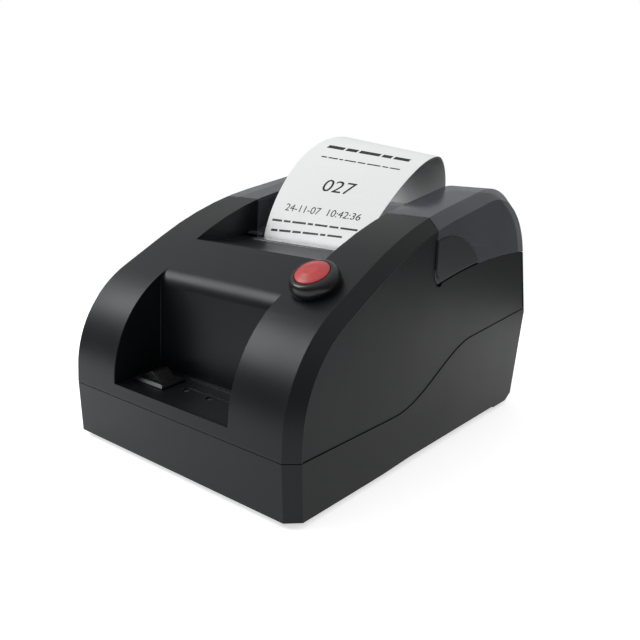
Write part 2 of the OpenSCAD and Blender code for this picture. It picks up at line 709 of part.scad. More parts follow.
// Points of a ring of the spring's wire, and the whole spring along Z
module coil(r, wire, length, turns) {
    per = 12;
    sides = 6;
    n = per * turns;
    function ring(i) = let (a = 360 * i / per, z = wire + (length - 2 * wire) * i / n)
        [for (k = [0:sides - 1]) let (b = 360 * k / sides)
            [(r + wire * cos(b)) * cos(a), (r + wire * cos(b)) * sin(a), z + wire * sin(b)]];
    points = [for (i = [0:n]) each ring(i)];
    faces = concat([[for (k = [0:sides - 1]) k]], [[for (k = [sides - 1:-1:0]) n * sides + k]],
        [for (i = [0:n - 1]) for (k = [0:sides - 1]) let (a = i * sides + k, b = i * sides + (k + 1) % sides)
            each [[a, a + sides, b], [b, a + sides, b + sides]]]);
    polyhedron(points, faces);
}

module head_springs() color("silver") placed() for (s = [-1, 1])
    translate([s * 15, cross_y + plate_t + 0.05, spring_z]) rotate([-90, 0, 0]) coil(1.9, 0.3, spring_l, 6);

module tear_bar() color("silver") placed() {
    tooth = 1.5;
    count = floor(2 * platen_hl / tooth);
    edge = paper_y - ticket_t / 2 - 0.5;
    pitch = (2 * platen_hl - 0.2) / (count + 1);
    translate([0, 0, tear_z]) linear_extrude(tear_t) polygon(concat([[-platen_hl, 74], [-platen_hl, edge - 1]],
        [for (i = [0:count]) each [[-platen_hl + (i + 0.1) * pitch, edge - 1],
            [-platen_hl + (i + 0.5) * pitch, edge]]], [[platen_hl, edge - 1], [platen_hl, 74]]));
}

// Room for the roll, grown by e and open upwards to z = top
module bin_room(e, top) {
    bar(bin_y, bin_z, bin_r + e, -bin_hw - e, bin_hw + e);
    translate([-bin_hw - e, bin_y - bin_r - e, bin_z]) cube([2 * (bin_hw + e), 2 * (bin_r + e), top - bin_z]);
}
module paper_bin() color([0.16, 0.16, 0.17]) placed() difference() {
    union() {
        bin_room(bin_t, bin_top);
        for (s = [-1, 1]) translate([s * 20 - 1, bin_y - 14, floor_z])
            cube([2, 28, bin_z - bin_r - bin_t - floor_z + 4]);
    }
    bin_room(0, far);
    bar(bin_y, roll_z, 14, -far / 2, far / 2);
    translate([-far / 2, bin_y - 14, roll_z]) cube([far, 28, far]);
    translate([bin_hw - 1, bin_y + 22, roll_z - 6]) cube([10, 5, 5]);
}

module paper_roll() color("white") placed() difference() {
    bar(bin_y, roll_z, roll_r, -paper_w / 2, paper_w / 2);
    bar(bin_y, roll_z, core_r, -far / 2, far / 2);
}

module roll_core() color([0.6, 0.5, 0.38]) placed() difference() {
    bar(bin_y, roll_z, core_r, -paper_w / 2, paper_w / 2);
    bar(bin_y, roll_z, core_r - 1.5, -far / 2, far / 2);
}

module paper_sensor() color([0.1, 0.1, 0.1]) placed() {
    translate([bin_hw + bin_t, bin_y + 20, roll_z - 8]) cube([3.5, 9, 9]);
    translate([bin_hw + bin_t - 1.2, bin_y + 22.3, roll_z - 5.7]) cube([1.2 + eps, 4.4, 4.4]);
}

// Cubic curve over four control points, measured from the slot
function curve(p, t) = [paper_y, slot_z] + pow(1 - t, 3) * p[0] + 3 * t * pow(1 - t, 2) * p[1]
    + 3 * t * t * (1 - t) * p[2] + pow(t, 3) * p[3];
function edge_points(e) = concat([[paper_y, platen_z - 1]],
    [for (i = [0:ticket_steps]) curve(e[0], i / ticket_steps)],
    [for (i = [1:ticket_steps / 2]) curve(e[1], 2 * i / ticket_steps)]);
function unit(v) = v / norm(v);
function side_of(p, i) = let (d = unit(p[min(i + 1, len(p) - 1)] - p[max(i - 1, 0)])) [-d[1], d[0]];

module ticket() color("white") placed() sheet();

module sheet() {
    left = edge_points(ticket_left);
    right = edge_points(ticket_right);
    n = len(left);
    across = 4;
    function at(i, k, s) = let (f = k / across, p = left[i] * (1 - f) + right[i] * f,
        d = unit(side_of(left, i) * (1 - f) + side_of(right, i) * f), q = p + d * s * ticket_t / 2)
        [paper_w * (f - 0.5), q[0], q[1]];
    w = across + 1;
    points = concat([for (i = [0:n - 1]) for (k = [0:across]) at(i, k, 1)],
        [for (i = [0:n - 1]) for (k = [0:across]) at(i, k, -1)]);
    m = n * w;
    function quad(a, b, c, d) = [[a, b, c], [a, c, d]];
    faces = concat(
        [for (i = [0:n - 2], k = [0:across - 1]) let (a = i * w + k) each quad(a, a + 1, a + w + 1, a + w)],
        [for (i = [0:n - 2], k = [0:across - 1]) let (a = m + i * w + k) each quad(a, a + w, a + w + 1, a + 1)],
        [for (i = [0:n - 2]) let (a = i * w, b = i * w + across) each concat(quad(a, a + w, m + a + w, m + a),
            quad(b, m + b, m + b + w, b + w))],
        [for (k = [0:across - 1]) let (b = (n - 1) * w + k) each concat(quad(k, m + k, m + k + 1, k + 1),
            quad(b, b + 1, m + b + 1, m + b))]);
    polyhedron(points, faces);
}

module main_board() color([0.1, 0.35, 0.2]) placed() difference() {
    union() {
        translate([-board_hw, 8, board_z]) cube([2 * board_hw, 38, board_t]);
        translate([8, 24, board_z + board_t - eps]) cube([14, 14, 1.6]);
        translate([-40, 10, board_z + board_t - eps]) cube([12, 5, 3.2]);
        for (x = [30, 37, 44]) translate([x, 16, board_z + board_t - eps]) cylinder(r = 2.8, h = 4);
        translate([-10, 40, board_z + board_t - eps]) cube([22, 5, 4]);
    }
    for (s = [-1, 1], y = [12, 42]) translate([s * (board_hw - 4), y, 0]) cylinder(r = 1.5, h = 40);
}

module port_board() color([0.1, 0.35, 0.2]) placed() difference() {
    translate([-bay_hw + 1, port_board_y, board_z])
        cube([2 * bay_hw - 2, bay_y - wall - port_board_y - 0.3, board_t]);
    for (s = [-1, 1]) translate([s * (bay_hw - 5), port_board_y + 6, 0]) cylinder(r = 1.5, h = 40);
}

module power_inlet() color([0.1, 0.1, 0.1]) placed() {
    difference() {
        translate([jack_x - 4.5, bay_y - 13.5, port_seat]) cube([9, 13.5, 11]);
        translate([jack_x, bay_y - 9, port_seat + 5.5]) rotate([-90, 0, 0]) cylinder(r = 3.2, h = 30);
    }
    translate([jack_x, bay_y - 9 - eps, port_seat + 5.5]) rotate([-90, 0, 0]) cylinder(r = 1, h = 8.5);
}

module data_port() color([0.75, 0.76, 0.78]) placed() {
    difference() {
        translate([usb_x - 6, bay_y - 14, port_seat]) cube([12, 14.4, 11]);
        translate([usb_x - 4.2, bay_y - 9, port_seat + 1.6]) cube([8.4, 20, 7.8]);
    }
    translate([usb_x - 2.8, bay_y - 9 - eps, port_seat + 3.9]) cube([5.6, 7, 3.2]);
}

module button_bezel() color([0.09, 0.09, 0.1]) placed() on_deck() rotate_extrude() polygon(concat(
    [[stem_r + run_gap, -barrel_l], [barrel_r, -barrel_l], [barrel_r, 0], [bezel_r - 0.6, 0],
        [bezel_r - 0.6, neck_h], [bezel_r, neck_h]],
    [for (a = [0:9:90]) [rim_r + (bezel_r - rim_r) * cos(a), neck_h + 0.2 + (bezel_h - neck_h - 0.2) * sin(a)]],
    [[cap_r + free_gap, bezel_h], [cap_r + free_gap, cap_seat_z], [stem_r + run_gap, cap_seat_z]]));

module button_cap() color([0.78, 0.12, 0.13]) placed() on_deck() rotate_extrude() polygon([[0, stem_bottom],
    [stem_r, stem_bottom], [stem_r, cap_z0], [cap_r, cap_z0], [cap_r, cap_z1 - 0.5], [cap_r - 0.5, cap_z1],
    [cap_r * 0.5, cap_z1 + 0.9], [cap_r * 0.42, cap_z1 + 1.1], [0, cap_z1 + 1.1]]);

module button_nut() color([0.12, 0.12, 0.12]) placed() on_deck() translate([0, 0, -wall - 3.6]) difference() {
    cylinder(r = 9.2, h = 3.6, $fn = 6);
    translate([0, 0, -1]) cylinder(r = barrel_r + 0.02, h = 6);
}

module button_switch() color([0.15, 0.15, 0.15]) placed() on_deck() {
    translate([0, 0, -barrel_l]) cylinder(r = stem_r, h = 2);
    translate([-6.5, -6.5, -barrel_l - 11]) cube([13, 13, 11]);
    for (s = [-1, 1]) translate([s * 4 - 0.4, -1.4, -barrel_l - 16]) cube([0.8, 2.8, 5 + eps]);
}

module button_spring() color("silver") placed() on_deck() translate([0, 0, -barrel_l + 2 + 0.05])
    coil(2.9, 0.3, stem_bottom + barrel_l - 2 - 0.1, 4);

module rocker_body() color([0.1, 0.1, 0.11]) placed() at_rocker() difference() {
        union() {
            hull() {
                translate([-rocker_l / 2, -rocker_w / 2, 0]) cube([rocker_l, rocker_w, 0.8]);
                translate([-rocker_l / 2 + 0.9, -rocker_w / 2 + 0.9, 0])
                    cube([rocker_l - 1.8, rocker_w - 1.8, 1.9]);
            }
            translate([-rocker_l / 2 + rocker_wall + 0.1, -rocker_w / 2 + rocker_wall + 0.1, -12])
                cube([rocker_l - 2 * rocker_wall - 0.2, rocker_w - 2 * rocker_wall - 0.2, 12 + eps]);
            for (x = [-5, 5]) translate([x - 0.4, -2.4, -17]) cube([0.8, 4.8, 5 + eps]);
        }
        translate([-rocker_l / 2 + 1.9, -rocker_w / 2 + 1.9, -5.2]) cube([rocker_l - 3.8, rocker_w - 3.8, 20]);
        translate([0, -rocker_w / 2 + 1.2, 0]) rotate([-90, 0, 0])
            cylinder(r = rocker_pin_r + run_gap, h = rocker_w - 2.4);
}

module rocker() color([0.08, 0.08, 0.08]) placed() at_rocker() rotate([0, rocker_tilt, 0]) {
    hw = rocker_w / 2 - 1.9 - free_gap;
    hl = rocker_l / 2 - 1.9 - free_gap;
    translate([0, hw, 0]) rotate([90, 0, 0]) linear_extrude(2 * hw) polygon([[-hl, 1.6], [-0.8, 5.2],
        [0.8, 5.2], [hl, 1.6], [hl - 0.6, -1.2], [2, -3.4], [-2, -3.4], [-hl + 0.6, -1.2]]);
    translate([0, -rocker_w / 2 + 1.3, 0]) rotate([-90, 0, 0]) cylinder(r = rocker_pin_r, h = rocker_w - 2.6);
}

module indicator_lenses() color([0.1, 0.14, 0.1]) placed() led_places() {
    under = wall * cos(panel_pitch);
    translate([0, 0, -under - 1.2]) cylinder(r = led_r + 0.7, h = 1.2);
    translate([0, 0, -under - eps]) cylinder(r = led_r - run_gap, h = under - 0.6);
}

module hinge_pins() color("silver") placed() hinge_places() let (hl = knuckle_w / 2 + knuckle_end_w + 0.4)
    bar(hinge_y, hinge_z, hinge_pin_r, -hl, hl);

module rubber_feet() color([0.05, 0.05, 0.05]) placed() foot_places() {
    cylinder(r1 = foot_r - 0.8, r2 = foot_r - 0.3, h = bottom_z);
    translate([0, 0, bottom_z - eps]) cylinder(r = foot_r, h = foot_sink + eps);
}

module base_screws() color([0.3, 0.3, 0.3]) placed() screw_places() {
    translate([0, 0, bottom_z + 3]) cylinder(r = 2.9, h = 2);
    translate([0, 0, bottom_z + 5 - eps]) cylinder(r = screw_r, h = 24);
}

base_shell();
top_housing();
paper_cover();
cover_tab_left();
cover_tab_right();
platen_carrier();
platen_roller();
platen_shaft();
platen_bushes();
platen_gear();
idler_gear();
motor_pinion();
stepper_motor();
mech_frame();
print_head();
head_heat_sink();
head_springs();
tear_bar();
paper_bin();
paper_roll();
roll_core();
paper_sensor();
ticket();
main_board();
port_board();
power_inlet();
data_port();
button_bezel();
button_cap();
button_nut();
button_switch();
button_spring();
rocker_body();
rocker();
indicator_lenses();
hinge_pins();
rubber_feet();
base_screws();
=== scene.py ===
"""Looks of a countertop queue ticket printer, built round its CAD frame."""

import json
import math

import bmesh
import bpy
from bpy.props import FloatProperty, FloatVectorProperty, IntProperty, PointerProperty, StringProperty
from mathutils import Matrix, Vector

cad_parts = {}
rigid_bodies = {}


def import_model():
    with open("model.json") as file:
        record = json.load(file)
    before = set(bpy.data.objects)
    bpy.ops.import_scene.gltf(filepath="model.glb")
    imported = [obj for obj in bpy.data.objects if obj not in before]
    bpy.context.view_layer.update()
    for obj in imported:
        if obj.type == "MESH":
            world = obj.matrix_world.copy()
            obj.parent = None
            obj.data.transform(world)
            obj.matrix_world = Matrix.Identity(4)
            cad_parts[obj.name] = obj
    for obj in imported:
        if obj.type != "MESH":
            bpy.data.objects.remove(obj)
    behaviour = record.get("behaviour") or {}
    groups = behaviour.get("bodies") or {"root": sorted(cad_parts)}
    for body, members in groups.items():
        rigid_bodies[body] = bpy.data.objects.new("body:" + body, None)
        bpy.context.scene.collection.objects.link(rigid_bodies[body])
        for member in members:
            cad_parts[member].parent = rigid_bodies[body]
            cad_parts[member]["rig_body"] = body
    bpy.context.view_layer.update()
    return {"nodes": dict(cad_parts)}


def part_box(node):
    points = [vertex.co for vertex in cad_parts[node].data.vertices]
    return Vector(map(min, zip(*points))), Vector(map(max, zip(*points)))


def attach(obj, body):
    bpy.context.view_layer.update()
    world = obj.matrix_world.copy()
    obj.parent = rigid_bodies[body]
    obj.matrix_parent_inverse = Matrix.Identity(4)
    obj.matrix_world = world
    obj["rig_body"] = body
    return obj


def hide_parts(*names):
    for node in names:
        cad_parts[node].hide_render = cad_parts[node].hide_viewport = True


bl_info = {
    "name": "Queue Ticket Printer",
    "version": (1, 0, 0),
    "blender": (4, 5, 0),
    "location": "3D View > Sidebar > Ticket Printer",
    "description": "Finishes the shells, paper, button and mechanism of a countertop ticket printer",
    "category": "Object",
}

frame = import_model()
nodes = frame["nodes"]

MM = 0.001
FRONT_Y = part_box("base_shell")[0].y
SMOOTH_BELOW = math.radians(28)
MERGE_WITHIN = 0.002 * MM
FLAT_WITHIN = math.radians(0.3)

# The front pocket, in millimetres from the middle and behind the front face
POCKET_HALF_WIDTH = 33
POCKET_FRONT_END = 16
POCKET_BACK_START = 20
POCKET_EDGE_ROUND = 1.6
POCKET_CORNER_HOLLOW = 1.2
ON_THE_WALL = 0.03

# The paper cover's front edges beside the trough, in millimetres behind, outward and up
COVER_FRONT = 86.45
COVER_BESIDE_TROUGH = 37.85
COVER_SHOULDER = 93
SEAM_WIDENING = 0.4


def front_point(x, y, z):
    """A point given in millimetres from the middle, the front face and the counter."""
    return Vector((x * MM, FRONT_Y + y * MM, z * MM))


# The ticket is ruled between two edge curves, in millimetres behind and above the slot.
# Each edge has two Bezier pieces, and TICKET_BELOW_SLOT more runs straight down into the slot.
TICKET_SLOT = (81.85, 86.3)
TICKET_WIDTH = 57.5
TICKET_BELOW_SLOT = 7.3
TICKET_EDGES = (
    (((0, 0), (3.6, 16.7), (24, 49.7), (61, 49.7)), ((61, 49.7), (69, 49.7), (76, 36), (74, 17))),
    (((0, 0), (5, 9.5), (43, 41.7), (62, 41.7)), ((62, 41.7), (68.5, 41.7), (73.5, 32), (71, 16))),
)
TICKET_THICKNESS = 0.3
ROW_SLANT = 0.055
STRIP_HEIGHT = 0.8
STAMP_HEIGHT = 4.0
DIGIT_SHARE = 0.73
FLAT_HALF = 0.5

# Height of a direction above the horizon, as its sine, where the room light starts and stops growing
ROOM_LIGHT_STARTS = -0.1
ROOM_LIGHT_FULL = 0.9

# ---------------------------------------------------------------- settings


class ShellSettings(bpy.types.PropertyGroup):
    housing_colour: FloatVectorProperty(
        name="Housing colour",
        description="Moulded plastic of the top housing",
        subtype="COLOR",
        default=(0.0040, 0.0047, 0.0062),
    )
    base_colour: FloatVectorProperty(
        name="Base colour",
        description="Moulded plastic of the base",
        subtype="COLOR",
        default=(0.0038, 0.0044, 0.0056),
    )
    smoke_colour: FloatVectorProperty(
        name="Smoke colour",
        description="Tint of the paper cover",
        subtype="COLOR",
        default=(0.070, 0.075, 0.088),
    )
    smoke_alpha: FloatProperty(
        name="Smoke opacity",
        description="How much the paper cover hides",
        subtype="FACTOR",
        default=0.80,
        min=0.3,
        max=1.0,
    )
    grain_size: FloatProperty(
        name="Grain size",
        description="Spacing of the moulded texture",
        subtype="DISTANCE",
        default=0.25 * MM,
    )
    edge_round: FloatProperty(
        name="Edge rounding",
        description="Radius that softens each moulded edge",
        subtype="DISTANCE",
        default=0.2 * MM,
    )


class TicketSettings(bpy.types.PropertyGroup):
    number: StringProperty(
        name="Number",
        description="Plain number printed on the ticket",
        default="027",
    )
    stamp: StringProperty(
        name="Stamp",
        description="Plain digits printed under the number",
        default="24-11-07  10:42:36",
    )
    number_height: FloatProperty(
        name="Number height",
        description="Height of the printed number",
        subtype="DISTANCE",
        default=8.0 * MM,
    )
    paper_colour: FloatVectorProperty(
        name="Paper colour",
        description="Coated side of the thermal paper",
        subtype="COLOR",
        default=(0.93, 0.93, 0.92),
    )
    ink_colour: FloatVectorProperty(
        name="Ink colour",
        description="Darkened thermal coating",
        subtype="COLOR",
        default=(0.008, 0.008, 0.010),
    )
    ink_height: FloatProperty(
        name="Ink height",
        description="How far the print stands off the sheet",
        subtype="DISTANCE",
        default=0.03 * MM,
    )
    steps_across: IntProperty(
        name="Steps across",
        description="Faces across the sheet",
        default=12,
        min=2,
        max=60,
    )
    steps_along: IntProperty(
        name="Steps along",
        description="Faces along the sheet",
        default=90,
        min=20,
        max=300,
    )


class ButtonSettings(bpy.types.PropertyGroup):
    cap_colour: FloatVectorProperty(
        name="Cap colour",
        description="Red plastic of the push button",
        subtype="COLOR",
        default=(0.50, 0.045, 0.045),
    )
    bezel_colour: FloatVectorProperty(
        name="Bezel colour",
        description="Black plastic of the domed bezel",
        subtype="COLOR",
        default=(0.004, 0.004, 0.0045),
    )


class StageSettings(bpy.types.PropertyGroup):
    camera_place: FloatVectorProperty(
        name="Camera place",
        description="Millimetres from the middle, the front face and the counter",
        default=(199.9, -162.0, 127.6),
    )
    camera_yaw: FloatProperty(
        name="Camera yaw",
        description="Turn to the left",
        subtype="ANGLE",
        default=math.radians(36.41),
    )
    camera_pitch: FloatProperty(
        name="Camera pitch",
        description="Look down",
        subtype="ANGLE",
        default=math.radians(10.41),
    )
    camera_roll: FloatProperty(
        name="Camera roll",
        description="Lean of the camera",
        subtype="ANGLE",
        default=math.radians(2.92),
    )
    camera_lens: FloatProperty(
        name="Lens",
        description="Focal length on a 36 mm sensor",
        subtype="DISTANCE_CAMERA",
        default=38.81,
    )
    camera_shift: FloatVectorProperty(
        name="Lens shift",
        description="Place of the lens centre",
        size=2,
        default=(-0.0368, -0.0631),
    )
    floor_colour: FloatVectorProperty(
        name="Floor colour",
        description="Pale floor",
        subtype="COLOR",
        default=(0.9, 0.9, 0.9),
    )
    floor_size: FloatProperty(
        name="Floor size",
        description="Width of the floor",
        subtype="DISTANCE",
        default=0.6,
    )
    floor_glow: FloatProperty(
        name="Floor glow",
        description="Light from below the pale floor",
        default=0.3,
    )
    floor_shine: FloatProperty(
        name="Floor shine",
        description="Glow of the floor as the camera sees it",
        default=0.6,
    )
    backdrop: FloatProperty(
        name="Backdrop",
        description="Brightness of the room behind the printer",
        default=1.0,
    )
    light_low: FloatProperty(
        name="Light at eye level",
        description="Room light near the horizon",
        default=0.16,
    )
    light_high: FloatProperty(
        name="Light overhead",
        description="Room light from straight above",
        default=0.8,
    )
    key_place: FloatVectorProperty(
        name="Key light place",
        description="Millimetres, as for the camera",
        default=(-620, -420, 640),
    )
    key_aim: FloatVectorProperty(
        name="Key light aim",
        description="Millimetres, as for the camera",
        default=(0, 60, 60),
    )
    key_size: FloatProperty(
        name="Key light size",
        description="Width of the soft box",
        subtype="DISTANCE",
        default=0.5,
    )
    key_power: FloatProperty(name="Key light power", description="Power of the soft box", default=5.0)
    key_colour: FloatVectorProperty(
        name="Key light colour",
        description="Slightly cool daylight",
        subtype="COLOR",
        default=(0.95, 0.98, 1.0),
    )


# ---------------------------------------------------------------- materials


class NodeMaker:
    """Adds nodes to one material and links them by name."""

    def __init__(self, name):
        self.material = bpy.data.materials.new(name)
        self.material.use_nodes = True
        self.tree = self.material.node_tree
        self.shader = self.tree.nodes["Principled BSDF"]

    def add(self, kind, **values):
        node = self.tree.nodes.new(kind)
        for key, value in values.items():
            if hasattr(node, key):
                setattr(node, key, value)
            else:
                node.inputs[key.replace("_", " ")].default_value = value
        return node

    def link(self, source, target):
        self.tree.links.new(source, target)

    def object_space(self, stretch=(1, 1, 1)):
        coords = self.add("ShaderNodeTexCoord")
        mapping = self.add("ShaderNodeMapping")
        mapping.inputs["Scale"].default_value = stretch
        self.link(coords.outputs["Object"], mapping.inputs["Vector"])
        return mapping.outputs["Vector"]

    def noise(self, space, size, detail=3.0, rough=0.5):
        """Noise whose features are about size metres across."""
        node = self.add("ShaderNodeTexNoise")
        node.inputs["Scale"].default_value = 1.0 / size
        node.inputs["Detail"].default_value = detail
        node.inputs["Roughness"].default_value = rough
        self.link(space, node.inputs["Vector"])
        return node.outputs["Fac"]

    def spread(self, value, low, high, from_low=0.3, from_high=0.7):
        node = self.add("ShaderNodeMapRange")
        numbers = (("From Min", from_low), ("From Max", from_high), ("To Min", low), ("To Max", high))
        for key, number in numbers:
            node.inputs[key].default_value = number
        self.link(value, node.inputs["Value"])
        return node.outputs["Result"]

    def blend_colours(self, factor, low, high):
        node = self.add("ShaderNodeMix", data_type="RGBA")
        node.inputs["A"].default_value = (*low, 1)
        node.inputs["B"].default_value = (*high, 1)
        self.link(factor, node.inputs["Factor"])
        return node.outputs["Result"]

    def tint(self, factor, colour, low, high):
        """Base colour that drifts between two shades of one colour."""
        shades = self.blend_colours(factor, scaled(colour, low), scaled(colour, high))
        self.link(shades, self.shader.inputs["Base Color"])

    def bump(self, height, distance, strength=1.0, under=None):
        node = self.add("ShaderNodeBump")
        node.inputs["Strength"].default_value = strength
        node.inputs["Distance"].default_value = distance
        self.link(height, node.inputs["Height"])
        if under is not None:
            self.link(under, node.inputs["Normal"])
        self.link(node.outputs["Normal"], self.shader.inputs["Normal"])
        return node.outputs["Normal"]

    def soft_edges(self, radius):
        node = self.add("ShaderNodeBevel", samples=6)
        node.inputs["Radius"].default_value = radius
        return node.outputs["Normal"]


def scaled(colour, factor):
    return tuple(min(1.0, c * factor) for c in colour)


def moulded_plastic(name, colour, roughness, grain, edge, depth=0.02 * MM, specular=0.5):
    """Spark-textured moulded plastic with faint flow marks and soft edges."""
    m = NodeMaker(name)
    space = m.object_space()
    patches = m.noise(space, 40 * MM, 2)
    flecks = m.noise(space, grain * 1.7, 2, 0.6)
    m.tint(m.spread(patches, 0, 1), colour, 0.9, 1.12)
    wear = m.add("ShaderNodeMath", operation="ADD")
    m.link(m.spread(patches, roughness - 0.03, roughness + 0.03), wear.inputs[0])
    m.link(m.spread(flecks, -0.03, 0.03), wear.inputs[1])
    m.link(wear.outputs["Value"], m.shader.inputs["Roughness"])
    m.shader.inputs["Specular IOR Level"].default_value = specular
    m.bump(m.noise(space, grain, 2, 0.65), depth, 0.6, m.soft_edges(edge) if edge else None)
    return m.material


def smoked_plastic(name, colour, alpha, edge):
    """Translucent glossy plastic that lets a little of the inside show."""
    m = NodeMaker(name)
    space = m.object_space()
    haze = m.noise(space, 30 * MM, 2)
    m.tint(m.spread(haze, 0, 1), colour, 0.92, 1.1)
    m.link(m.spread(m.noise(space, 0.8 * MM, 3), 0.12, 0.18), m.shader.inputs["Roughness"])
    m.shader.inputs["Alpha"].default_value = alpha
    m.shader.inputs["IOR"].default_value = 1.5
    m.bump(m.noise(space, 6 * MM, 2), 0.01 * MM, 0.5, m.soft_edges(edge))
    return m.material


def thermal_paper(name, colour):
    """Smooth coated paper with faint fibres."""
    m = NodeMaker(name)
    space = m.object_space()
    fibres = m.noise(m.object_space((0.25, 1, 1)), 0.4 * MM, 4, 0.7)
    m.tint(m.spread(fibres, 0, 1), colour, 0.97, 1.02)
    m.link(m.spread(m.noise(space, 12 * MM, 2), 0.42, 0.55), m.shader.inputs["Roughness"])
    m.shader.inputs["Specular IOR Level"].default_value = 0.35
    m.bump(fibres, 0.006 * MM, 0.5)
    return m.material


def metal(name, colour, roughness, grain, stretch=(1, 1, 1), depth=0.006 * MM):
    """Ground, plated or brushed metal; stretch lays the grain along an axis."""
    m = NodeMaker(name)
    lines = m.noise(m.object_space(stretch), grain, 3, 0.6)
    cloud = m.noise(m.object_space(), 9 * MM, 3)
    m.tint(m.spread(cloud, 0, 1), colour, 0.86, 1.08)
    m.link(m.spread(lines, roughness - 0.07, roughness + 0.09), m.shader.inputs["Roughness"])
    m.shader.inputs["Metallic"].default_value = 1.0
    m.bump(lines, depth, 0.6)
    return m.material


def gloss_plastic(name, colour, roughness, edge, wave=0.008 * MM):
    """Polished plastic with slight sink and fine scuffs."""
    m = NodeMaker(name)
    space = m.object_space()
    cloud = m.noise(space, 5 * MM, 2)
    scuffs = m.noise(m.object_space((1, 6, 1)), 0.5 * MM, 4, 0.75)
    m.tint(m.spread(cloud, 0, 1), colour, 0.9, 1.1)
    m.link(m.spread(scuffs, roughness - 0.05, roughness + 0.08), m.shader.inputs["Roughness"])
    m.bump(cloud, wave, 0.5, m.soft_edges(edge) if edge else None)
    return m.material


# ---------------------------------------------------------------- pieces


def paint(obj, material):
    obj.data.materials.clear()
    obj.data.materials.append(material)


def crisp_shading(bm, below=SMOOTH_BELOW):
    for face in bm.faces:
        face.smooth = True
    for edge in bm.edges:
        edge.smooth = edge.is_manifold and edge.calc_face_angle(math.pi) < below


def on_pocket_wall(edge):
    """Whether an edge joins one of the pocket's side walls to a face that looks forward."""
    if any(abs(abs(v.co.x) - POCKET_HALF_WIDTH * MM) > ON_THE_WALL * MM for v in edge.verts):
        return False
    wall, other = sorted((face.normal for face in edge.link_faces), key=lambda normal: -abs(normal.x))
    return abs(wall.x) >= 0.95 and abs(other.x) <= 0.3 and other.y <= -0.5


def round_pocket(bm):
    """Round the pocket's upright front edges and hollow its upright back corners."""
    bm.normal_update()
    front = []
    back = []
    for edge in bm.edges:
        if not edge.is_manifold or not on_pocket_wall(edge):
            continue
        behind = max(v.co.y for v in edge.verts) / MM - FRONT_Y / MM
        rise = abs(edge.verts[0].co.z - edge.verts[1].co.z)
        if edge.is_convex and behind < POCKET_FRONT_END:
            front.append(edge)
        elif not edge.is_convex and behind > POCKET_BACK_START and rise > MM:
            back.append(edge)
    for radius, edges in ((POCKET_EDGE_ROUND, front), (POCKET_CORNER_HOLLOW, back)):
        bmesh.ops.bevel(
            bm,
            geom=edges,
            offset=radius * MM,
            affect="EDGES",
            segments=4,
            profile=0.5,
            material=-1,
            clamp_overlap=True,
        )


def open_seam(bm):
    """Set the cover's front edges back a little, so that the seam to the rails shows dark."""
    for vert in bm.verts:
        behind = (vert.co.y - FRONT_Y) / MM
        beside = abs(vert.co.x) > COVER_BESIDE_TROUGH * MM
        if behind < COVER_FRONT and beside and vert.co.z > COVER_SHOULDER * MM:
            vert.co.y += SEAM_WIDENING * MM


def finished_copy(node, name, material, reshape=None):
    """A merged, smoothly shaded copy of a CAD node that stands for it."""
    bm = bmesh.new()
    bm.from_mesh(nodes[node].data)
    bmesh.ops.remove_doubles(bm, verts=bm.verts, dist=MERGE_WITHIN)
    bmesh.ops.dissolve_limit(bm, angle_limit=FLAT_WITHIN, verts=bm.verts, edges=bm.edges)
    if reshape:
        reshape(bm)
    crisp_shading(bm)
    obj = new_piece(bm, name, material)
    even = obj.modifiers.new("even_shading", "WEIGHTED_NORMAL")
    even.keep_sharp = True
    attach(obj, nodes[node]["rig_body"])
    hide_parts(node)
    return obj


def new_piece(bm, name, material):
    mesh = bpy.data.meshes.new(name)
    bm.to_mesh(mesh)
    bm.free()
    obj = bpy.data.objects.new(name, mesh)
    bpy.context.scene.collection.objects.link(obj)
    paint(obj, material)
    return obj


class PRINTER_OT_shells(bpy.types.Operator):
    """Finish the base, the top housing and the finger pads"""

    bl_idname = "printer.shells"
    bl_label = "Shells"

    def execute(self, context):
        s = context.scene.printer_shells
        skin = (s.grain_size, s.edge_round)
        # the finger pads are the housing's own plastic; doubling its colour is painted light that makes
        # them look brighter lit
        pad_colour_painted_lighter = scaled(s.housing_colour, 2)
        housing = moulded_plastic("housing_plastic", s.housing_colour, 0.37, *skin, specular=0.28)
        base = moulded_plastic("base_plastic", s.base_colour, 0.36, *skin, specular=0.28)
        pads = moulded_plastic("pad_plastic", pad_colour_painted_lighter, 0.42, *skin, specular=0.6)
        finished_copy("base_shell", "base", base)
        finished_copy("top_housing", "housing", housing, round_pocket)
        finished_copy("cover_tab_left", "finger_pad_left", pads)
        finished_copy("cover_tab_right", "finger_pad_right", pads)
        return {"FINISHED"}


class PRINTER_OT_smoked_cover(bpy.types.Operator):
    """Finish the translucent paper cover"""

    bl_idname = "printer.smoked_cover"
    bl_label = "Smoked cover"

    def execute(self, context):
        s = context.scene.printer_shells
        smoke = smoked_plastic("smoked_plastic", s.smoke_colour, s.smoke_alpha, s.edge_round)
        finished_copy("paper_cover", "smoked_cover", smoke, open_seam)
        return {"FINISHED"}


def edge_curve(pieces, t):
    """Point on one edge; t runs from 0 at the slot to 2 at the tip.

    Below 0, t is millimetres under the slot.
    """
    if t < 0:
        return Vector((0, t))
    piece = min(int(t), 1)
    a, b, c, d = (Vector(point) for point in pieces[piece])
    t -= piece
    return a * (1 - t) ** 3 + b * 3 * t * (1 - t) ** 2 + c * 3 * t * t * (1 - t) + d * t**3


def on_ticket(across, t, lift=0.0):
    """Point in metres on the sheet; across runs from 0 at the left edge to 1 at the right."""

    def middle(f, u):
        side = edge_curve(TICKET_EDGES[0], u).lerp(edge_curve(TICKET_EDGES[1], u), f)
        return Vector(((f - 0.5) * TICKET_WIDTH, TICKET_SLOT[0] + side.x, TICKET_SLOT[1] + side.y))

    here = middle(across, t)
    outward = (middle(across + 0.01, t) - here).cross(middle(across, t + 0.01) - here).normalized()
    return front_point(*(here + outward * lift))


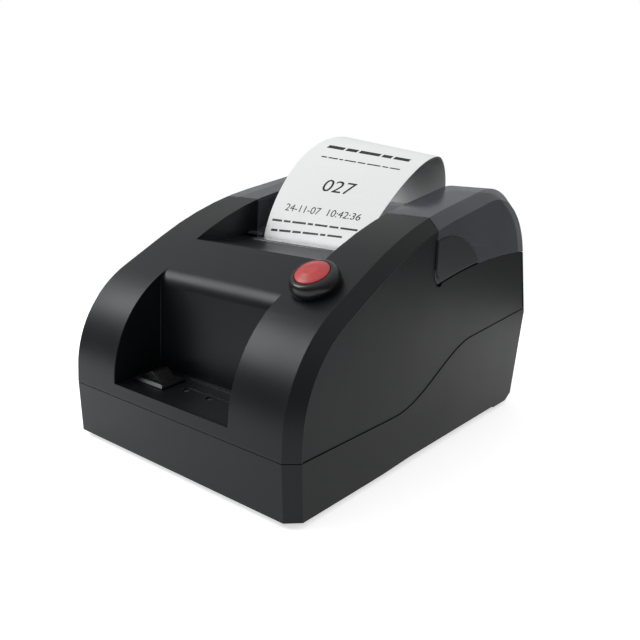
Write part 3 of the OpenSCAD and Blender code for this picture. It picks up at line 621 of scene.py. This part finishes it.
class PaperRuler:
    """Turns millimetres along the ticket from the slot into a place on the edge curves."""

    def __init__(self, steps=200):
        self.places = [2 * i / steps for i in range(steps + 1)]
        points = [on_ticket(0.5, t) / MM for t in self.places]
        self.lengths = [0.0]
        for a, b in zip(points, points[1:]):
            self.lengths.append(self.lengths[-1] + (b - a).length)

    def place(self, distance):
        for i, length in enumerate(self.lengths[1:]):
            if distance <= length:
                share = (distance - self.lengths[i]) / (length - self.lengths[i])
                return self.places[i] + share * (self.places[i + 1] - self.places[i])
        return self.places[-1]


class PRINTER_OT_ticket(bpy.types.Operator):
    """Finish the ticket and its print"""

    bl_idname = "printer.ticket"
    bl_label = "Ticket"

    def execute(self, context):
        s = context.scene.printer_ticket
        body = nodes["ticket"]["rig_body"]
        sheet = self.sheet(s)
        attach(sheet, body)
        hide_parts("ticket")
        ink = thermal_paper("darkened_coating", s.ink_colour)
        for name, bm, left, middle_height in self.print_rows(s):
            self.lay_on_sheet(bm, left, middle_height, s)
            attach(new_piece(bm, name, ink), body)
        return {"FINISHED"}

    def sheet(self, s):
        bm = bmesh.new()
        bmesh.ops.create_grid(bm, x_segments=s.steps_across, y_segments=s.steps_along, size=0.5)
        half = TICKET_THICKNESS / 2
        grid = list(bm.verts)
        back = bmesh.ops.duplicate(bm, geom=bm.verts[:] + bm.edges[:] + bm.faces[:])["geom"]
        below = [item for item in back if isinstance(item, bmesh.types.BMVert)]
        inner = [item for item in back if isinstance(item, bmesh.types.BMFace)]
        bmesh.ops.reverse_faces(bm, faces=inner)
        for verts, lift in ((grid, half), (below, -half)):
            for vert in verts:
                # the first row is the end in the slot, the rest run along the curves
                row = round((vert.co.y + 0.5) * s.steps_along)
                t = (row - 1) * 2 / (s.steps_along - 1) if row else -TICKET_BELOW_SLOT
                vert.co = on_ticket(vert.co.x + 0.5, t, lift)
        rims = [edge for edge in bm.edges if edge.is_boundary]
        bmesh.ops.bridge_loops(bm, edges=rims)
        bmesh.ops.recalc_face_normals(bm, faces=bm.faces)
        crisp_shading(bm)
        return new_piece(bm, "ticket_sheet", thermal_paper("ticket_paper", s.paper_colour))

    def print_rows(self, s):
        """Each row of print as flat solids, its left end and the height of its middle, in millimetres."""
        yield "print_number", self.digits(s.number, s.number_height / MM), 21, 31.2
        yield "print_time", self.digits(s.stamp, STAMP_HEIGHT), 7.5, 15.8
        yield "print_heading", self.dashes((9, 6, 11, 5, 8), 3.0, 1.2), 6.5, 61
        yield "print_line", self.dashes((3, 5, 2, 6, 4, 7, 3, 5), 0.9, 0.9), 9, 51
        yield "print_lower_line", self.dashes((6, 4, 8, 3, 7, 5, 9), 1.0, 1.1), 2.5, 8.8
        yield "print_last_line", self.dashes((4, 7, 5, 9, 3, 8), 1.0, 1.1), 3.5, 4.2

    def digits(self, body, height):
        """Digits as flat solids, 2 * FLAT_HALF thick, with their middle line at zero."""
        curve = bpy.data.curves.new("digits", "FONT")
        curve.body = body
        curve.size = height / DIGIT_SHARE
        curve.extrude = FLAT_HALF
        curve.align_y = "CENTER"
        shape = bpy.data.objects.new("digits", curve)
        mesh = shape.to_mesh()
        bm = bmesh.new()
        bm.from_mesh(mesh)
        shape.to_mesh_clear()
        bpy.data.objects.remove(shape)
        bpy.data.curves.remove(curve)
        bmesh.ops.remove_doubles(bm, verts=bm.verts, dist=0.001)
        return bm

    def dashes(self, lengths, height, gap):
        """A row of flat bars that stands for a printed line."""
        bm = bmesh.new()
        left = 0
        for length in lengths:
            stretch = Matrix.Diagonal((length, height, 2 * FLAT_HALF, 1))
            place = Matrix.Translation((left + length / 2, 0, 0)) @ stretch
            bmesh.ops.create_cube(bm, size=1, matrix=place)
            left += length + gap
        return bm

    def lay_on_sheet(self, bm, left, middle_height, s):
        """Cut flat solids into strips and bend them onto the outer face of the sheet."""
        low = min(vert.co.y for vert in bm.verts)
        high = max(vert.co.y for vert in bm.verts)
        cuts = max(1, round((high - low) / STRIP_HEIGHT))
        for i in range(1, cuts):
            level = low + (high - low) * i / cuts
            everything = bm.verts[:] + bm.edges[:] + bm.faces[:]
            bmesh.ops.bisect_plane(
                bm, geom=everything, dist=1e-5, plane_co=(0, level, 0), plane_no=(0, 1, 0)
            )
        ruler = PaperRuler()
        for vert in bm.verts:
            across = left + vert.co.x
            distance = middle_height + vert.co.y + ROW_SLANT * (across - TICKET_WIDTH / 2)
            lift = TICKET_THICKNESS / 2 + (FLAT_HALF + vert.co.z) * s.ink_height / MM
            vert.co = on_ticket(across / TICKET_WIDTH, ruler.place(distance), lift)
        bmesh.ops.recalc_face_normals(bm, faces=bm.faces)


class PRINTER_OT_push_button(bpy.types.Operator):
    """Finish the red push button and its bezel"""

    bl_idname = "printer.push_button"
    bl_label = "Push button"

    def execute(self, context):
        s = context.scene.printer_button
        finished_copy("button_cap", "red_cap", gloss_plastic("red_plastic", s.cap_colour, 0.36, 0.3 * MM))
        bezel = gloss_plastic("bezel_plastic", s.bezel_colour, 0.24, 0.2 * MM)
        finished_copy("button_bezel", "domed_bezel", bezel)
        return {"FINISHED"}


class PRINTER_OT_switch_panel(bpy.types.Operator):
    """Finish the rocker switch and the indicator lenses"""

    bl_idname = "printer.switch_panel"
    bl_label = "Switch panel"

    def execute(self, context):
        black = (0.004, 0.004, 0.0045)
        finished_copy("rocker_body", "rocker_frame", gloss_plastic("switch_plastic", black, 0.34, 0.2 * MM))
        finished_copy("rocker", "rocker_paddle", gloss_plastic("paddle_plastic", black, 0.28, 0.3 * MM))
        paint(nodes["indicator_lenses"], gloss_plastic("lens_plastic", (0.05, 0.07, 0.05), 0.2, 0.1 * MM))
        return {"FINISHED"}


class PRINTER_OT_mechanism(bpy.types.Operator):
    """Finish the print mechanism, its gears and the motor"""

    bl_idname = "printer.mechanism"
    bl_label = "Print mechanism"

    def execute(self, context):
        steel = metal("ground_steel", (0.62, 0.63, 0.65), 0.26, 0.3 * MM, (0.05, 1, 1))
        zinc = metal("plated_steel", (0.58, 0.60, 0.60), 0.36, 0.5 * MM, (1, 1, 0.1))
        rubber = moulded_plastic("roller_rubber", (0.022, 0.022, 0.024), 0.72, 0.2 * MM, None)
        gears = moulded_plastic("gear_plastic", (0.74, 0.72, 0.65), 0.45, 0.4 * MM, 0.1 * MM)
        black = moulded_plastic("black_plastic", (0.02, 0.02, 0.021), 0.45, 0.3 * MM, 0.2 * MM)
        for node, name, finish in (
            ("platen_roller", "roller_rubber_sleeve", rubber),
            ("platen_shaft", "roller_spindle", steel),
            ("platen_bushes", "roller_bushes", gears),
            ("platen_gear", "roller_drive_gear", gears),
            ("idler_gear", "idler_wheel", gears),
            ("platen_carrier", "roller_carrier", black),
            ("paper_sensor", "paper_eye", black),
        ):
            finished_copy(node, name, finish)
        brass = metal("machined_brass", (0.72, 0.52, 0.22), 0.28, 0.3 * MM)
        finished_copy("motor_pinion", "brass_pinion", brass)
        finished_copy("stepper_motor", "motor_can", zinc)
        finished_copy("mech_frame", "chassis_plate", zinc)
        glaze = gloss_plastic("head_glaze", (0.62, 0.58, 0.46), 0.2, 0.1 * MM)
        finished_copy("print_head", "head_ceramic", glaze)
        aluminium = metal("anodised_aluminium", (0.72, 0.73, 0.74), 0.4, 0.4 * MM)
        finished_copy("head_heat_sink", "head_sink", aluminium)
        finished_copy("head_springs", "head_coils", steel)
        finished_copy("tear_bar", "tear_blade", steel)
        return {"FINISHED"}


class PRINTER_OT_paper_bin(bpy.types.Operator):
    """Finish the paper bin, the roll and its core"""

    bl_idname = "printer.paper_bin"
    bl_label = "Paper bin and roll"

    def execute(self, context):
        s = context.scene.printer_ticket
        black = moulded_plastic("bin_plastic", (0.026, 0.026, 0.028), 0.44, 0.3 * MM, 0.2 * MM)
        finished_copy("paper_bin", "roll_bin", black)
        finished_copy("paper_roll", "wound_paper", thermal_paper("roll_paper", s.paper_colour))
        core = moulded_plastic("core_plastic", (0.2, 0.2, 0.21), 0.5, 0.5 * MM, None)
        finished_copy("roll_core", "core_tube", core)
        return {"FINISHED"}


class PRINTER_OT_electrics(bpy.types.Operator):
    """Finish the circuit boards and the rear ports"""

    bl_idname = "printer.electrics"
    bl_label = "Boards and ports"

    def execute(self, context):
        board = gloss_plastic("solder_mask", (0.015, 0.11, 0.05), 0.3, None)
        black = moulded_plastic("port_plastic", (0.018, 0.018, 0.019), 0.4, 0.3 * MM, 0.2 * MM)
        for node, name, finish in (
            ("main_board", "logic_board", board),
            ("port_board", "rear_board", board),
            ("power_inlet", "power_socket", black),
            ("data_port", "data_socket", metal("nickel_plate", (0.7, 0.7, 0.71), 0.25, 0.3 * MM)),
            ("button_nut", "ring_nut", black),
            ("button_switch", "push_switch", black),
        ):
            finished_copy(node, name, finish)
        # the spring is shown as its CAD object
        paint(nodes["button_spring"], metal("spring_wire", (0.6, 0.61, 0.63), 0.25, 0.3 * MM))
        return {"FINISHED"}


class PRINTER_OT_fasteners(bpy.types.Operator):
    """Finish the hinge pins, feet and screws"""

    bl_idname = "printer.fasteners"
    bl_label = "Pins, feet and screws"

    def execute(self, context):
        pins = metal("pin_steel", (0.6, 0.61, 0.63), 0.3, 0.3 * MM, (0.05, 1, 1))
        rubber = moulded_plastic("foot_rubber", (0.015, 0.015, 0.016), 0.8, 0.3 * MM, None)
        screws = metal("blackened_steel", (0.16, 0.16, 0.17), 0.35, 0.3 * MM)
        finished_copy("hinge_pins", "cover_pins", pins)
        finished_copy("rubber_feet", "soft_feet", rubber)
        finished_copy("base_screws", "blackened_screws", screws)
        return {"FINISHED"}


class PRINTER_OT_stage(bpy.types.Operator):
    """Set up the floor, the lights and the camera"""

    bl_idname = "printer.stage"
    bl_label = "Stage"

    def execute(self, context):
        s = context.scene.printer_stage
        scene = context.scene
        scene.view_settings.view_transform = "Standard"
        self.add_floor(s)
        self.add_world(scene, s)
        self.add_softbox("key_light", s)
        self.add_camera(scene, s)
        return {"FINISHED"}

    def add_floor(self, s):
        bm = bmesh.new()
        bmesh.ops.create_grid(bm, x_segments=1, y_segments=1, size=s.floor_size / 2)
        m = NodeMaker("pale_floor")
        m.shader.inputs["Roughness"].default_value = 0.9
        m.shader.inputs["Specular IOR Level"].default_value = 0.1
        cloud = m.noise(m.object_space(), 0.3, 2)
        m.tint(cloud, s.floor_colour, 0.99, 1.01)
        m.shader.inputs["Emission Color"].default_value = (1, 1, 1, 1)
        # the floor is whiter to look at than it is in the printer's reflections
        seen = m.add("ShaderNodeLightPath")
        glow = m.spread(seen.outputs["Is Camera Ray"], s.floor_glow, s.floor_shine, 0, 1)
        m.link(glow, m.shader.inputs["Emission Strength"])
        new_piece(bm, "studio_floor", m.material)

    def add_world(self, scene, s):
        scene.world = bpy.data.worlds.new("studio_room")
        scene.world.use_nodes = True
        tree = scene.world.node_tree
        background = tree.nodes["Background"]
        background.inputs["Color"].default_value = (1, 1, 1, 1)
        heading = tree.nodes.new("ShaderNodeTexCoord")
        height = tree.nodes.new("ShaderNodeSeparateXYZ")
        rise = tree.nodes.new("ShaderNodeMapRange")
        rise.interpolation_type = "SMOOTHSTEP"
        for key, value in (
            ("From Min", ROOM_LIGHT_STARTS),
            ("From Max", ROOM_LIGHT_FULL),
            ("To Min", s.light_low),
            ("To Max", s.light_high),
        ):
            rise.inputs[key].default_value = value
        seen = tree.nodes.new("ShaderNodeLightPath")
        pick = tree.nodes.new("ShaderNodeMix")
        pick.inputs["B"].default_value = s.backdrop
        tree.links.new(heading.outputs["Generated"], height.inputs["Vector"])
        tree.links.new(height.outputs["Z"], rise.inputs["Value"])
        tree.links.new(rise.outputs["Result"], pick.inputs["A"])
        tree.links.new(seen.outputs["Is Camera Ray"], pick.inputs["Factor"])
        tree.links.new(pick.outputs["Result"], background.inputs["Strength"])

    def add_softbox(self, name, s):
        light = bpy.data.lights.new(name, "AREA")
        light.shape = "SQUARE"
        light.size = s.key_size
        light.energy = s.key_power
        light.color = s.key_colour
        obj = bpy.data.objects.new(name, light)
        bpy.context.scene.collection.objects.link(obj)
        place = front_point(*s.key_place)
        turn = (front_point(*s.key_aim) - place).to_track_quat("-Z", "Y").to_matrix().to_4x4()
        obj.matrix_world = Matrix.Translation(place) @ turn

    def add_camera(self, scene, s):
        data = bpy.data.cameras.new("photo_camera")
        data.sensor_width = 36
        data.lens = s.camera_lens
        data.shift_x, data.shift_y = s.camera_shift
        data.clip_start = 0.01
        camera = bpy.data.objects.new("photo_camera", data)
        scene.collection.objects.link(camera)
        yaw, pitch, roll = s.camera_yaw, s.camera_pitch, s.camera_roll
        flat = math.cos(pitch)
        ahead = Vector((-math.sin(yaw) * flat, math.cos(yaw) * flat, -math.sin(pitch)))
        level = Vector((math.cos(yaw), math.sin(yaw), 0))
        up = level.cross(ahead)
        right = level * math.cos(roll) + up * math.sin(roll)
        top = up * math.cos(roll) - level * math.sin(roll)
        turn = Matrix((right, top, -ahead)).transposed().to_4x4()
        camera.matrix_world = Matrix.Translation(front_point(*s.camera_place)) @ turn
        scene.camera = camera


OPERATORS = (
    PRINTER_OT_stage,
    PRINTER_OT_shells,
    PRINTER_OT_smoked_cover,
    PRINTER_OT_ticket,
    PRINTER_OT_push_button,
    PRINTER_OT_switch_panel,
    PRINTER_OT_mechanism,
    PRINTER_OT_paper_bin,
    PRINTER_OT_electrics,
    PRINTER_OT_fasteners,
)


class PRINTER_PT_panel(bpy.types.Panel):
    """The ticket printer's settings and steps"""

    bl_label = "Ticket Printer"
    bl_idname = "PRINTER_PT_panel"
    bl_space_type = "VIEW_3D"
    bl_region_type = "UI"
    bl_category = "Ticket Printer"

    def draw(self, context):
        for group in ("printer_shells", "printer_ticket", "printer_button", "printer_stage"):
            box = self.layout.box()
            settings = getattr(context.scene, group)
            for key in settings.__annotations__:
                box.prop(settings, key)
        for operator in OPERATORS:
            self.layout.operator(operator.bl_idname)


SETTINGS = {
    "printer_shells": ShellSettings,
    "printer_ticket": TicketSettings,
    "printer_button": ButtonSettings,
    "printer_stage": StageSettings,
}
CLASSES = (*SETTINGS.values(), *OPERATORS, PRINTER_PT_panel)


def register():
    for cls in CLASSES:
        bpy.utils.register_class(cls)
    for name, cls in SETTINGS.items():
        setattr(bpy.types.Scene, name, PointerProperty(type=cls))


def unregister():
    for name in SETTINGS:
        delattr(bpy.types.Scene, name)
    for cls in reversed(CLASSES):
        bpy.utils.unregister_class(cls)


def main():
    register()
    for operator in OPERATORS:
        group, call = operator.bl_idname.split(".")
        getattr(getattr(bpy.ops, group), call)()


if __name__ == "__main__":
    main()
